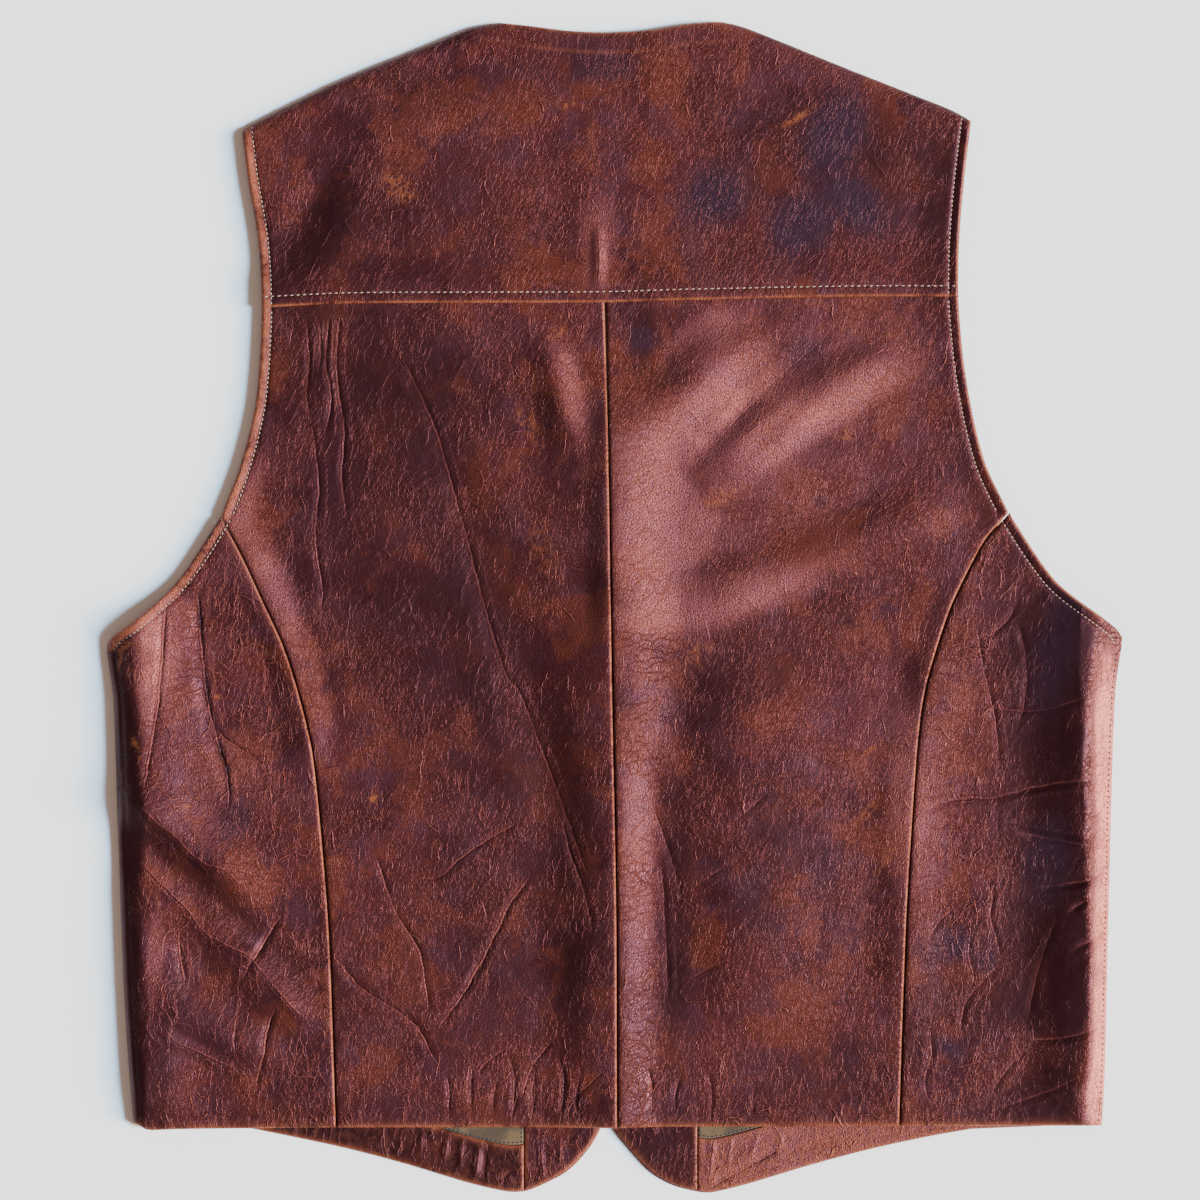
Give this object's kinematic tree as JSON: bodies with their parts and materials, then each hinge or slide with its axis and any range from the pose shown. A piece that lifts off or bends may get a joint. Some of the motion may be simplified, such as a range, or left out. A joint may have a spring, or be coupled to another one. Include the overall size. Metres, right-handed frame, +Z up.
{
  "type": "leather vest laid flat",
  "caption": "Sleeveless leather vest laid flat with its back up: lapped yoke, seamed back panels, turned armholes, rounded front tips showing facing and lining below the hem.",
  "frame": {"origin": "on the surface the vest lies on, under the middle of its outline", "axes": "+X to the wearer's right with the back facing up, +Y from hem to neck, +Z up off the surface"},
  "size_m": [0.5777, 0.6658, 0.0139],
  "materials": {
    "leather": "waxed pull-up, worn at the edges",
    "lining": "plain woven khaki cotton"
  },
  "bodies": {
    "root": {"back_yoke": "leather", "back_centre_left": "leather", "back_centre_right": "leather", "back_side_left": "leather", "back_side_right": "leather", "front_left": "leather", "front_right": "leather", "front_facing_left": "leather", "front_facing_right": "leather", "hem_facing_left": "leather", "hem_facing_right": "leather", "front_lining_left": "lining", "front_lining_right": "lining"}
  },
  "joints": []
}
